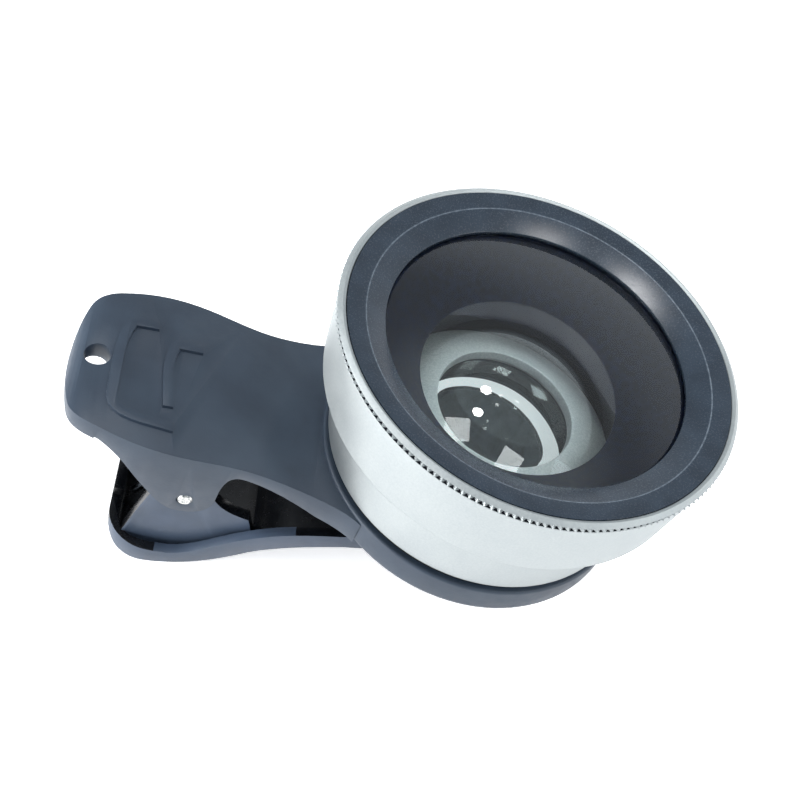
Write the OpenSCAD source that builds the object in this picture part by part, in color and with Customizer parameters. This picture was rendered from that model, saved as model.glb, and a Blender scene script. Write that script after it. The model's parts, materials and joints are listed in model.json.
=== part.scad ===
// Clip-on phone lens: a sprung plastic clip that carries a two-part wide-angle and macro lens.
// Every piece is drawn about the lens axis, with z = 0 on the underside of the clip's ring
// and the thumb levers towards -X. The whole part is then tipped by its rest angle, so that
// it stands on the heel and toe of its lower lever.

/* [Clip ring] */
// Outer radius of the clip's threaded ring
ring_r = 21; // [19.5:0.1:23]
// Height of the clip's ring
ring_h = 4.6; // [4:0.1:6]
// Thickness of the floor inside the ring
ring_floor_t = 1.2; // [0.8:0.1:1.4]
// Radius of the viewing hole in the ring's floor
sight_r = 10; // [7:0.1:11]
// Thickness of the ring's wall outside its thread
ring_wall = 2.5; // [2:0.1:3]
// Length of the thread between the clip and the macro barrel
thread_l = 3; // [2:0.05:3]

/* [Upper lever] */
// Distance from the lens axis to the tail end of the upper lever
tail_x = 53.5; // [50:0.5:58]
// Half of both levers' width at their widest
arm_hw = 12; // [11:0.1:13]
// Half of the lever's width at its waist
waist_hw = 11.1; // [10.4:0.1:12]
// Height of the lever's top at the thumb pad
pad_top_z = 6.75; // [6:0.05:8]
// Height of the lever's top where it joins the ring
root_top_z = 4.05; // [3.6:0.05:4.4]
// Thickness of the lever's top plate
plate_t = 2; // [1.5:0.1:2.4]
// Thickness of the ears and side skirts
skirt_t = 1.7; // [1.2:0.1:2]
// Radius of the lanyard hole
lanyard_r = 1.65; // [1:0.05:2]
// Distance from the tail end to the lanyard hole's centre
lanyard_in = 3.3; // [3:0.1:5]
// Width of the raised thumb ridges
ridge_w = 1.3; // [0.8:0.1:1.6]
// Height of the raised thumb ridges
ridge_h = 0.5; // [0.3:0.05:0.8]

/* [Hinge] */
// Distance from the lens axis to the hinge pin
pin_x = 35.9; // [34:0.1:37]
// Depth of the hinge pin below the ring's underside
pin_drop = 3.2; // [2.8:0.1:4]
// Radius of the hinge pin
pin_r = 1; // [0.8:0.05:1.25]
// Depth of the ears below the pin's centre
ear_drop = 2.7; // [2.2:0.1:3.2]
// Side clearance between the upper and lower ears
ear_gap = 0.35; // [0.3:0.05:0.5]
// Radial clearance of the pin in the lower ears
pin_play = 0.05; // [0.02:0.01:0.1]

/* [Lower lever] */
// Distance from the lens axis to the tail end of the lower lever
heel_x = 44.3; // [43:0.1:46]
// Depth of the lower lever's heel below the ring's underside
heel_drop = 18.95; // [18:0.05:20]
// Height of the tray's rim, from its underside
rim_h = 2.8; // [2.4:0.1:3.4]
// Thickness of the tray's rim, seen from above
rim_t = 1.4; // [1:0.1:1.8]
// Thickness of the tray's floor
tray_floor_t = 1.2; // [0.8:0.1:1.6]
// Distance from the lens axis to the tip of the lower jaw
toe_x = 10; // [8:0.5:13]
// Half of the jaw's width
jaw_hw = 10.5; // [9:0.1:11.5]
// Thickness of the jaw at its tip
jaw_t = 2.4; // [2:0.1:3]

/* [Jaw pads] */
// How far the upper jaw pad stands in from the outside of the ring
pad_in = 2.4; // [1.8:0.1:4]
// How far the upper jaw pad stands below the ring
pad_proud = 1; // [0.6:0.1:1.4]
// Depth of the recess that holds the upper jaw pad
pad_recess = 0.5; // [0.3:0.05:0.6]
// Thickness of the lower jaw pad
low_pad_t = 1.4; // [1:0.1:2]
// Gap between the two closed pads
jaw_gap = 0.35; // [0.3:0.05:0.6]

/* [Torsion spring] */
// Wire radius of the torsion spring
wire_r = 0.55; // [0.4:0.05:0.6]
// Mean radius of the spring's coils
coil_r = 2.3; // [2.1:0.05:2.5]
// Number of full turns in the spring's coil
coil_turns = 5; // [3:1:6]

/* [Macro barrel] */
// Height of the seat washer between the ring and the macro barrel
washer_t = 0.85; // [0.6:0.05:1]
// How far the macro barrel stands in from the outside of the clip's ring
macro_in = 0.44; // [0.2:0.02:0.8]
// How much the macro barrel widens towards its front
macro_flare = 0.74; // [0.3:0.02:1]
// Height of the macro barrel's outer wall
macro_h = 10.45; // [10:0.05:12]
// How much smaller the thread between the barrels is than the clip's thread
joint_in = 1; // [0.8:0.05:1.4]
// Length of the thread between the two barrels
joint_l = 3; // [2.4:0.1:3]
// Width of the conical ring that holds the small lens, out to the barrel's bore
small_ring_w = 5.65; // [5.3:0.05:6.5]
// How far the small lens reaches under that ring
small_lap = 0.75; // [0.5:0.05:1]
// Radius of curvature of the small lens's front face
small_front_rc = 26; // [22:0.5:40]
// Radius of curvature of the small lens's back face
small_back_rc = 40; // [30:0.5:60]
// Height of the small lens's front ring above the underside of the clip's ring
small_ring_z = 10.85; // [10.4:0.05:11.4]

/* [Wide barrel] */
// Width of the silver lip outside the front ring
lip_w = 1.2; // [1.1:0.05:1.6]
// How far the silver lip stands above the front ring
lip_h = 0.15; // [0.1:0.05:0.4]
// How far the wall behind the knurl stands in from it
belt_in = 0.35; // [0.25:0.05:0.5]
// How much the wide barrel narrows towards its back
wide_flare = 0.95; // [0.4:0.05:1.4]
// Height of the wide barrel from its back face to the lip
wide_h = 11.95; // [11.5:0.05:13]
// Width of the knurled band
knurl_w = 0.95; // [0.6:0.05:1.2]
// Depth of the knurl's notches
knurl_depth = 0.42; // [0.25:0.01:0.45]
// Number of notches in the knurl
knurl_n = 180; // [120:4:200]

/* [Front ring and glass] */
// Clear radius of the front ring
clear_r = 19.15; // [18.6:0.05:19.4]
// How far the glass reaches under the front ring
glass_lap = 0.45; // [0.3:0.05:0.7]
// Width of the front ring outside the glass
band_w = 4.7; // [4:0.05:5.2]
// Width of the front ring's chamfer
chamfer_w = 2.75; // [2.4:0.05:3.4]
// Depth of the front ring's chamfer
chamfer_d = 1.35; // [1:0.05:1.6]
// Radius of curvature of the glass's front face
glass_front_rc = 70; // [50:1:120]
// Height of the glass's straight edge
glass_edge = 2.6; // [2:0.1:3]
// Radius of the bowl ground into the back of the glass
bowl_r = 11.6; // [10.5:0.1:12.5]
// Radius of curvature of the bowl
bowl_rc = 30; // [24:0.5:40]
// Height of the glass from the bowl's rim to the front ring's lip
glass_depth = 11.5; // [10.5:0.1:12]

/* [Hidden] */
$fn = 96;
// sliding fit between a thread's two halves, shown as plain cylinders
fit = 0.05;
// overlap that makes a cut pass cleanly through a face
cut = 0.5;
// hair gap between glass or washers and the metal that holds them
hair = 0.05;

// radii of the clip's thread and pad, and of the two barrels and what they hold
thread_r = ring_r - ring_wall;
pad_r = ring_r - pad_in;
root_x = ring_r - 6.15;
macro_r0 = ring_r - macro_in;
macro_r1 = macro_r0 + macro_flare;
joint_r = thread_r - joint_in;
hollow_r = joint_r - 3;
neck_r = joint_r - 1.5;
small_clear_r = hollow_r - small_ring_w;
small_lens_r = small_clear_r + small_lap;
glass_r = clear_r + glass_lap;
front_r = glass_r + band_w;
chamfer_r = clear_r + chamfer_w;
knurl_r = front_r + lip_w;
wide_r1 = knurl_r - belt_in;
wide_r0 = wide_r1 - wide_flare;
cone_slope = (glass_depth - glass_edge) / (glass_r - bowl_r);

// heights along the lens axis
pin_z = -pin_drop;
spigot_z = ring_h - thread_l;
macro_z0 = ring_h + washer_t;
macro_z1 = macro_z0 + macro_h;
wide_z0 = macro_z1 + hair;
wide_z1 = wide_z0 + wide_h;
front_z = wide_z1 - lip_h;
lip_z = front_z - 0.35 - chamfer_d - 0.6;
glass_z = lip_z - hair;
bowl_z = lip_z - glass_depth;
small_seat_z = small_ring_z - 4.6;
jaw_pad_z = -pad_proud - jaw_gap;
jaw_top_z = jaw_pad_z - low_pad_t;

// the levers' ears, and the edges that the part rests on
tray_hw = arm_hw;
ear_in = arm_hw - 0.15 - skirt_t;
low_ear_out = ear_in - ear_gap;
low_ear_t = 1.6;
heel_r = 2.6;
lip_r = knurl_r - 0.7;
lip_edge_z = wide_z1 - 0.5;
toe_r = 1;
jaw_flat_x = toe_x - 13;
pad_tail_x = toe_x - 22;

// A cubic curve from a to d with the handles b and c
function curve(a, b, c, d, n = 10) = [for (i = [0 : n - 1]) let (t = i / n, s = 1 - t)
    s * s * s * a + 3 * s * s * t * b + 3 * s * t * t * c + t * t * t * d];
// Points on an arc about c
function arc(c, r, a0, a1, n = 12) = [for (i = [0 : n]) let (a = a0 + (a1 - a0) * i / n)
    c + r * [cos(a), sin(a)]];
// The same points mirrored to the other side and in the opposite order
function other_side(p) = [for (i = [len(p) - 1 : -1 : 0]) [p[i].x, -p[i].y]];
// Height of a spherical face of radius rc at radius r below its crown
function sag(rc, r) = rc - sqrt(rc * rc - r * r);

// Half of the upper lever's plan, from the ring to the tail, pulled in by a margin
function arm_half(m = 0) = concat(
    curve([-root_x, root_x - m], [-17.3, 12.7 - m], [-24.5, waist_hw - m], [-29.3, waist_hw - m]),
    curve([-29.3, waist_hw - m], [-33, waist_hw - m], [-36, arm_hw - m], [-40, arm_hw - m]),
    curve([-40, arm_hw - m], [-43.5, arm_hw - m], [-46.2, 11.35 - m], [5 - tail_x, 10.6 - m]),
    curve([5 - tail_x, 10.6 - m], [2.9 - tail_x + m, 10 - m], [1.6 - tail_x + m, 9.2 - m],
        [1.1 - tail_x + m, 7.6 - m / 2]),
    curve([1.1 - tail_x + m, 7.6 - m / 2], [0.4 - tail_x + m, 5.5], [m - tail_x, 2.5], [m - tail_x, 0]));
// Top line of the upper lever seen from the side, from the ring to the tail
arm_top = concat(
    curve([-12, root_top_z], [-14, root_top_z], [-17, root_top_z], [-20, root_top_z], 3),
    curve([-20, root_top_z], [-29, root_top_z], [-39.5, pad_top_z - 0.15], [-49, pad_top_z], 16),
    curve([-49, pad_top_z], [2 - tail_x, pad_top_z], [0.2 - tail_x, pad_top_z - 0.7],
        [-tail_x, pad_top_z - 2.1], 8),
    [[-tail_x, pad_top_z - 2.1]]);
// Under line of the lever's side, from the tail past the ear to the ring
arm_under = concat(
    curve([-tail_x, pad_top_z - 2.3], [0.6 - tail_x, pad_top_z - 2.6], [-51.8, 4.05], [-51, 4.05], 4),
    [[-51, 4.05], [-48.5, 4.05], [-48.3, 4.4]],
    curve([-48, 4.4], [-47.2, 4.2], [-45.8, 3.5], [-44.2, 1.8], 6),
    curve([-44.2, 1.8], [-43, 0.4], [-42, -1], [-40.8, -2.3], 2),
    curve([-40.8, -2.3], [-39.9, -3.4], [-38.9, -4.6], [-37.4, pin_z - ear_drop + 0.4], 5),
    curve([-37.4, pin_z - ear_drop + 0.4], [-35.4, pin_z - ear_drop - 0.2],
        [-33, pin_z - ear_drop - 0.1], [-32.4, -3.9], 8),
    curve([-32.4, -3.9], [-31.9, -2.4], [-32.3, -1], [-31.9, 0.6], 4),
    curve([-31.9, 0.6], [-31.6, 2.3], [-30.9, 3], [-29.8, 2.9], 6),
    curve([-29.8, 2.9], [-27, 2.6], [-22, 1], [-18.5, 0], 8),
    [[-12, 0]]);

// Underside of the lower lever from the heel to the toe
tray_under = concat(
    arc([heel_r - heel_x, heel_r - heel_drop], heel_r, 180, 262, 8),
    curve([heel_r + 1 - heel_x, -heel_drop], [-34.5, -heel_drop], [-30, -16], [-25.8, -12.55], 12),
    curve([-25.8, -12.55], [-22.5, -10.2], [-18, -9.1], [-14.5, -8.35], 8),
    curve([-14.5, -8.35], [-10, -7.3], [-6, jaw_top_z - jaw_t], [0, jaw_top_z - jaw_t], 8),
    arc([toe_x - toe_r, jaw_top_z - jaw_t + toe_r], toe_r, 270, 360, 6));
// Top line of the lower lever's rim from the jaw back to the heel
rim_top = concat(
    [[toe_x, jaw_top_z], [jaw_flat_x, jaw_top_z]],
    curve([jaw_flat_x, jaw_top_z], [jaw_flat_x - 5, jaw_top_z], [-11, -4.6], [-14.5, -5.75], 7),
    curve([-14.5, -5.75], [-19, -6.4], [-22.5, -6.9], [-26.6, -9.5], 8),
    curve([-26.6, -9.5], [-31, -12.3], [-33, -16.1], [-37.6, rim_h - heel_drop], 8),
    [[-37.6, rim_h - heel_drop], [-heel_x, rim_h - heel_drop + 0.1]]);
// Half of the lower lever's plan from the heel to the toe, pulled in by a margin
function tray_half(m = 0) = concat(
    [[m - heel_x, 0]],
    curve([m - heel_x, 6.5], [m - heel_x, tray_hw - 2.4], [2.6 - heel_x, tray_hw - m],
        [5.5 - heel_x, tray_hw - m], 10),
    curve([5.5 - heel_x, tray_hw - m], [-30, tray_hw - m], [-24, tray_hw - 0.5 - m],
        [-14, jaw_hw - m], 12),
    curve([-14, jaw_hw - m], [-10, jaw_hw - m], [-6, jaw_hw - m], [toe_x - jaw_hw, jaw_hw - m], 3),
    arc([toe_x - jaw_hw, 0], jaw_hw - m, 90, 0, 16));

// The steepest line from the lower lever's back half to its toe is the one that the part rests on
toe_c = [toe_x - toe_r, jaw_top_z - jaw_t + toe_r];
rest_tilt = max([for (p = tray_under) if (p.x < -heel_x / 2) let (d = toe_c - p)
    atan2(d.y, d.x) - asin(toe_r / norm(d))]);
// Places along and above that line
function along(p) = p.x * cos(rest_tilt) + p.y * sin(rest_tilt);
function above(p) = p.y * cos(rest_tilt) - p.x * sin(rest_tilt);
back_reach = min([for (p = concat(arm_top, arm_under)) along(p)]);
front_reach = max([for (p = [[knurl_r, lip_edge_z], [lip_r, wide_z1]]) along(p)]);
rest_lift = -min([for (p = tray_under) above(p)]);

// Tips a piece drawn about the lens axis to the part's rest position
module seated() {
    translate([-(back_reach + front_reach) / 2, 0, rest_lift]) rotate([0, rest_tilt, 0]) children();
}
// A side outline in x and z, made w wide along y
module slab(points, w) {
    translate([0, w / 2, 0]) rotate([90, 0, 0]) linear_extrude(w) polygon(points);
}
// A plan outline given by its half, from z0 to z1
module plan(half, z0, z1) {
    translate([0, 0, z0]) linear_extrude(z1 - z0) polygon(concat(half, other_side(half)));
}
// A solid of revolution about the lens axis
module turned(points) {
    rotate_extrude($fn = 180) polygon(points);
}
// A straight hole or shaft along y at the hinge
module across(r, w) {
    translate([-pin_x, w / 2, pin_z]) rotate([90, 0, 0]) cylinder(r = r, h = w, $fn = 48);
}

// One raised ridge: a stretch of constant width on the thumb pad
module ridge(points) {
    n = len(points);
    side = [for (i = [0 : n - 1]) let (a = points[max(i - 1, 0)], b = points[min(i + 1, n - 1)],
        d = (b - a) / norm(b - a)) points[i] + ridge_w / 2 * [-d.y, d.x]];
    back = [for (i = [n - 1 : -1 : 0]) let (a = points[max(i - 1, 0)], b = points[min(i + 1, n - 1)],
        d = (b - a) / norm(b - a)) points[i] - ridge_w / 2 * [-d.y, d.x]];
    linear_extrude(20) polygon(concat(side, back));
}
// The two thumb ridges, cut off at a height that follows the lever's top
module ridges() {
    raised = [for (p = arm_top) [p.x, p.y + ridge_h]];
    outer = concat(
        [[14 - tail_x, -8.2]],
        curve([10 - tail_x, -8.2], [5.9 - tail_x, -8], [5.9 - tail_x, -6.5], [5.9 - tail_x, -3], 8),
        curve([5.9 - tail_x, -3], [5.6 - tail_x, 2], [5.9 - tail_x, 4.5], [6.9 - tail_x, 6.1], 8),
        [[6.9 - tail_x, 6.1], [9.9 - tail_x, 6.5]]);
    inner = concat(
        [[12.9 - tail_x, -5.4]],
        curve([12.2 - tail_x, -1], [11.9 - tail_x, 1], [12 - tail_x, 3], [12.6 - tail_x, 4.4], 8),
        [[12.6 - tail_x, 4.4], [15.9 - tail_x, 4.9]]);
    intersection() {
        union() {
            ridge(outer);
            ridge(inner);
        }
        slab(concat(raised, [[-tail_x, 2], [-12, 2]]), 4 * arm_hw);
    }
}

// The clip's ring, with the thread's bore and the recess for the pad below it
module clip_ring() {
    e = 1.1;
    turned(concat([[sight_r, pad_recess], [pad_r - 8, pad_recess], [pad_r + 0.1, pad_recess],
        [pad_r + 0.1, 0]], arc([ring_r - e - 0.1, e], e, -90, 0, 6),
        arc([ring_r - 0.4 - 0.1, ring_h - 0.4], 0.4, 0, 90, 4),
        [[thread_r + fit + 0.3, ring_h], [thread_r + fit, ring_h - 0.3],
        [thread_r + fit, ring_floor_t], [sight_r, ring_floor_t]]));
}
module upper_arm() {
    side = concat(arm_top, arm_under);
    under = [for (p = arm_top) [p.x, p.y - plate_t]];
    color([0.2, 0.22, 0.25]) seated() difference() {
        union() {
            difference() {
                intersection() {
                    plan(concat(arm_half(), [[-tail_x, 0]]), -20, 20);
                    slab(side, 6 * arm_hw);
                }
                intersection() {
                    plan(concat(arm_half(skirt_t), [[skirt_t - tail_x, 0]]), -20, 20);
                    slab(concat(under, [[-tail_x, -20], [-12, -20]]), 6 * arm_hw);
                    translate([6 - tail_x, -2 * arm_hw, -20]) cube([tail_x, 4 * arm_hw, 60]);
                }
                translate([0, 0, -cut]) cylinder(r = ring_r - 1, h = 20);
            }
            ridges();
            clip_ring();
        }
        across(pin_r + hair / 2, 4 * arm_hw);
        translate([lanyard_in - tail_x, 0, 0]) cylinder(r = lanyard_r, h = 20, $fn = 48);
        translate([-pin_x, 0, pin_z]) cube([8, 2 * ear_in, 12], center = true);
    }
}

// One of the lower lever's ears, with its flared foot
module low_ear() {
    back = -pin_x;
    profile = concat(
        [[1.7 - heel_x, 0.95 - heel_drop]],
        curve([1.9 - heel_x, 2.05 - heel_drop], [back - 5.7, pin_z - 10.2], [back - 5.1, pin_z - 6.3],
            [back - 3.3, pin_z - 0.4], 8),
        arc([back, pin_z], 3, 165, 10, 12),
        curve([back + 3.3, pin_z - 0.6], [back + 4.7, pin_z - 3.2], [back + 6.4, pin_z - 4.2],
            [back + 10.4, pin_z - 4.7], 8),
        [[back + 10.4, pin_z - 8.6], [back + 7.9, pin_z - 10.4], [back + 4.9, pin_z - 12.6],
        [back - 0.1, 0.95 - heel_drop]]);
    slab(profile, low_ear_t);
}
module lower_arm() {
    side = concat(tray_under, rim_top);
    hollow = [for (p = tray_under) [p.x, p.y + tray_floor_t]];
    color([0.15, 0.16, 0.18]) seated() difference() {
        union() {
            difference() {
                intersection() {
                    plan(tray_half(), -30, 10);
                    slab(side, 4 * tray_hw);
                }
                intersection() {
                    plan(tray_half(rim_t), -30, 10);
                    slab(concat(hollow, [[toe_x, 10], [-heel_x, 10]]), 4 * tray_hw);
                    translate([-heel_x, -2 * tray_hw, -30]) cube([heel_x + pad_tail_x, 4 * tray_hw, 60]);
                }
            }
            for (s = [-1, 1]) translate([0, s * (low_ear_out - low_ear_t / 2), 0]) low_ear();
            translate([-heel_x, -4.5, -heel_drop + rim_h]) cube([rim_t, 9, 1.5]);
        }
        across(pin_r + pin_play, 4 * arm_hw);
    }
}

module pivot_pin() {
    l = arm_hw - 0.15;
    color([0.82, 0.82, 0.8]) seated() translate([-pin_x, 0, pin_z]) rotate([90, 0, 0])
        rotate_extrude($fn = 48) polygon([[0, -l], [pin_r - 0.3, -l], [pin_r, 0.2 - l],
            [pin_r, l - 0.2], [pin_r - 0.3, l], [0, l]]);
}

// Path of the spring's wire: a leg, the coil and the other leg
coil_pitch = 2 * wire_r + 0.15;
coil_half = coil_pitch * coil_turns / 2;
leg_top = [-46.5, 6.45 - plate_t - wire_r - 0.1];
leg_low = [-41.5, 3 - heel_drop];
wire_path = let (n = 16, a0 = 120) concat(
    [[leg_top.x, coil_half, leg_top.y]],
    [for (i = [0 : n * (coil_turns + 1 / 3)]) let (a = a0 - 360 * i / n)
        [-pin_x + coil_r * cos(a), coil_half - 2 * coil_half * i / (n * (coil_turns + 1 / 3)),
            pin_z + coil_r * sin(a)]],
    [[leg_low.x, -coil_half, leg_low.y]]);
// Cross product frame of the path at one point
function unit(v) = v / norm(v);
function path_dir(p, i) = unit(p[min(i + 1, len(p) - 1)] - p[max(i - 1, 0)]);
// A round wire swept along a path
module wire(path, r, sides = 8) {
    n = len(path);
    rings = [for (i = [0 : n - 1]) let (d = path_dir(path, i), u = unit(cross(d, [0.05, 1, 0])),
        v = cross(u, d)) each [for (k = [0 : sides - 1]) let (a = 360 * k / sides)
            path[i] + r * (cos(a) * u + sin(a) * v)]];
    walls = [for (i = [0 : n - 2], k = [0 : sides - 1]) let (j = (k + 1) % sides)
        [i * sides + k, i * sides + j, (i + 1) * sides + j, (i + 1) * sides + k]];
    ends = [[for (k = [sides - 1 : -1 : 0]) k], [for (k = [0 : sides - 1]) (n - 1) * sides + k]];
    polyhedron(rings, concat(walls, ends), convexity = 10);
}
module torsion_spring() {
    color([0.75, 0.75, 0.73]) seated() wire(wire_path, wire_r);
}

module upper_jaw_pad() {
    color([0.12, 0.12, 0.13]) seated() turned([[sight_r, -pad_proud], [pad_r - 0.6, -pad_proud],
        [pad_r, 0.6 - pad_proud], [pad_r, pad_recess], [sight_r, pad_recess]]);
}
module lower_jaw_pad() {
    m = 1.2;
    r = jaw_hw - m;
    half = concat([[pad_tail_x, 0], [pad_tail_x, r]], arc([toe_x - jaw_hw, 0], r, 90, 0, 16));
    color([0.12, 0.12, 0.13]) seated() intersection() {
        plan(half, jaw_top_z, jaw_pad_z);
        slab([[toe_x, jaw_pad_z], [pad_tail_x, jaw_pad_z], [pad_tail_x, jaw_pad_z - 0.4],
            [jaw_flat_x, jaw_top_z], [toe_x, jaw_top_z]], 4 * jaw_hw);
    }
}

module seat_washer() {
    color([0.08, 0.08, 0.09]) seated() turned([[thread_r + fit + 0.1, ring_h], [ring_r - 1, ring_h],
        [ring_r - 1, macro_z0], [thread_r + fit + 0.1, macro_z0]]);
}

module macro_barrel() {
    color([0.86, 0.88, 0.87]) seated() turned([
        [small_clear_r, spigot_z], [thread_r, spigot_z], [thread_r, macro_z0],
        [macro_r0 - 0.2, macro_z0], [macro_r0, macro_z0 + 0.2], [macro_r1, macro_z1 - 0.2],
        [macro_r1 - 0.2, macro_z1], [joint_r + fit, macro_z1], [joint_r + fit, macro_z1 - joint_l - 0.2],
        [hollow_r, macro_z1 - joint_l - 0.2], [hollow_r, small_ring_z - 2.6],
        [small_lens_r + hair, small_ring_z - 2.6], [small_lens_r + hair, small_seat_z],
        [small_clear_r, small_seat_z]]);
}
module macro_lens_washer() {
    color([0.1, 0.1, 0.1]) seated() turned([[small_clear_r, small_seat_z], [small_lens_r, small_seat_z],
        [small_lens_r, small_seat_z + 0.4], [small_clear_r, small_seat_z + 0.4]]);
}
module macro_lens() {
    n = 10;
    back_z = small_ring_z - 3.7 - sag(small_back_rc, small_lens_r);
    front_z = small_ring_z - 2.2 + sag(small_front_rc, small_lens_r);
    color([0.75, 0.85, 0.9, 0.5]) seated() rotate_extrude($fn = 96) polygon(concat(
        [for (i = [0 : n]) let (r = small_lens_r * i / n) [r, back_z + sag(small_back_rc, r)]],
        [for (i = [n : -1 : 0]) let (r = small_lens_r * i / n) [r, front_z - sag(small_front_rc, r)]]));
}
module macro_retaining_ring() {
    color([0.8, 0.82, 0.82]) seated() turned([
        [small_clear_r, small_ring_z - 1.3], [small_lens_r - 0.1, small_ring_z - 2.1],
        [hollow_r - 0.1, small_ring_z - 2.1], [hollow_r - 0.1, small_ring_z - 1.2],
        [hollow_r - 1.3, small_ring_z - 1.1],
        [small_clear_r + 0.35, small_ring_z], [small_clear_r, small_ring_z]]);
}

// One notched band: a star-shaped prism
module knurl(z0, z1) {
    step = 360 / knurl_n;
    translate([0, 0, z0]) linear_extrude(z1 - z0) polygon([for (i = [0 : knurl_n - 1], k = [0, 1])
        let (a = step * (i + k / 2), r = knurl_r - k * knurl_depth) r * [cos(a), sin(a)]]);
}
module wide_barrel() {
    e = 0.9;
    bore = glass_r + hair;
    seat_top = glass_z - glass_edge - 0.35;
    knurl_in = knurl_r - knurl_depth - 0.15;
    funnel_r = neck_r + 1.4;
    core = concat(
        [[neck_r, wide_z0 - joint_l], [joint_r, wide_z0 - joint_l], [joint_r, wide_z0]],
        arc([wide_r0 - e, wide_z0 + e], e, -90, 0, 8),
        [[wide_r1, lip_edge_z - knurl_w], [knurl_in, lip_edge_z - knurl_w],
        [knurl_in, lip_edge_z], [knurl_r - 0.1, lip_edge_z], [lip_r, wide_z1], [front_r + fit, wide_z1],
        [front_r + fit, lip_z], [bore, lip_z], [bore, seat_top],
        [funnel_r, seat_top - (bore - funnel_r) * cone_slope],
        [neck_r, seat_top - (bore - funnel_r) * cone_slope - 1.2]]);
    color([0.88, 0.9, 0.89]) seated() {
        turned(core);
        difference() {
            knurl(lip_edge_z - knurl_w, lip_edge_z);
            translate([0, 0, wide_z0]) cylinder(r = knurl_in - 0.2, h = wide_h, $fn = 180);
        }
    }
}
module front_element() {
    n = 16;
    color([0.3, 0.35, 0.4, 0.6]) seated() rotate_extrude($fn = 120) polygon(concat(
        [for (i = [0 : n]) let (r = bowl_r * i / n) [r, bowl_z + sag(bowl_rc, bowl_r) - sag(bowl_rc, r)]],
        [[glass_r, glass_z - glass_edge]],
        [for (i = [n : -1 : 0]) let (r = glass_r * i / n)
            [r, glass_z + sag(glass_front_rc, glass_r) - sag(glass_front_rc, r)]]));
}
module front_ring() {
    color([0.2, 0.22, 0.25]) seated() turned([
        [clear_r, lip_z + sag(glass_front_rc, glass_r) - sag(glass_front_rc, clear_r) + 0.05],
        [glass_r, lip_z],
        [front_r, lip_z], [front_r, front_z - 0.1], [front_r - 0.1, front_z],
        [chamfer_r, front_z - 0.35], [clear_r, front_z - 0.35 - chamfer_d]]);
}
module front_washer() {
    r0 = glass_r - 2;
    r1 = glass_r - 1.1;
    top = glass_z - glass_edge - 1.1 * cone_slope - hair;
    foot = top - (r1 - r0) * cone_slope;
    color([0.08, 0.08, 0.08]) seated()
        turned([[r1, top - 0.28], [r1, top], [r0, foot], [r0, foot - 0.28]]);
}

upper_arm();
lower_arm();
pivot_pin();
torsion_spring();
upper_jaw_pad();
lower_jaw_pad();
seat_washer();
macro_barrel();
macro_lens();
macro_retaining_ring();
macro_lens_washer();
wide_barrel();
front_element();
front_ring();
front_washer();
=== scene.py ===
"""Looks of a clip-on phone lens: a black spring clip that carries a two-part silver lens.

Every piece is built in millimetres about the lens axis, with z = 0 on the underside of the
clip's ring, and its mesh is then laid into the row frame, in metres.
"""

import json
import logging
import math
from dataclasses import dataclass
from enum import Enum
from typing import Any, Callable, Iterable, Sequence

import bmesh
import bpy
from mathutils import Matrix, Vector


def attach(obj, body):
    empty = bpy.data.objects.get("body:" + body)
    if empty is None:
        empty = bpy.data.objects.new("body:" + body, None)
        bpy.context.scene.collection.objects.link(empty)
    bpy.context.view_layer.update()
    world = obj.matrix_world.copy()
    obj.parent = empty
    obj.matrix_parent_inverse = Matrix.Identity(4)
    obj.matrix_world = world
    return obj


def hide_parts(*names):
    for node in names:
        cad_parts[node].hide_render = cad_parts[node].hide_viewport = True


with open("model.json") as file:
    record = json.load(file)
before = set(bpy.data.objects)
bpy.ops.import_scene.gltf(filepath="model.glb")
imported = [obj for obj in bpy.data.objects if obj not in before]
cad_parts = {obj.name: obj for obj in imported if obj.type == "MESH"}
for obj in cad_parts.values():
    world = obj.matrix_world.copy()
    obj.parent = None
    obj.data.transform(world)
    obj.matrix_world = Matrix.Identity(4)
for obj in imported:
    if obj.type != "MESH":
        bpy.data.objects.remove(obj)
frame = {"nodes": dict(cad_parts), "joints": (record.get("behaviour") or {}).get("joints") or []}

Mesh = bpy.types.Mesh
Point = tuple[float, float]
Socket = bpy.types.NodeSocket
Tree = bpy.types.NodeTree

LOG = logging.getLogger("phone_lens")
MM = 0.001
# The barrels' threads, in millimetres
THREAD_PITCH = 0.75
THREAD_DEPTH = 0.28


class Body(Enum):
    """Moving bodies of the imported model."""

    LOWER_LEVER = "lower_lever"
    UPPER_LEVER = "upper_lever"
    MACRO_CELL = "macro_cell"
    MACRO_SLEEVE = "macro_sleeve"
    WIDE_CELL = "wide_cell"
    WIDE_SLEEVE = "wide_sleeve"


class Slot(Enum):
    """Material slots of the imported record."""

    CLIP = "clip_plastic"
    LEVER = "lever_plastic"
    PIN = "pin_steel"
    SPRING = "spring_steel"
    PAD = "pad_rubber"
    BARREL = "barrel_aluminium"
    RING = "ring_aluminium"
    BLACK = "black_anodised"
    FRONT_GLASS = "lens_glass"
    MACRO_GLASS = "macro_glass"
    WASHER = "washer_black"


def linear(colour: str) -> tuple[float, float, float, float]:
    """Turns an sRGB hex colour to a linear one.

    Args:
        colour: The colour, as six hex digits.

    Returns:
        The linear red, green and blue, with an alpha of 1.
    """
    parts = [int(colour[i : i + 2], 16) / 255 for i in (0, 2, 4)]
    low_end = [p / 12.92 if p <= 0.04045 else ((p + 0.055) / 1.055) ** 2.4 for p in parts]
    return (low_end[0], low_end[1], low_end[2], 1.0)


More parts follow.
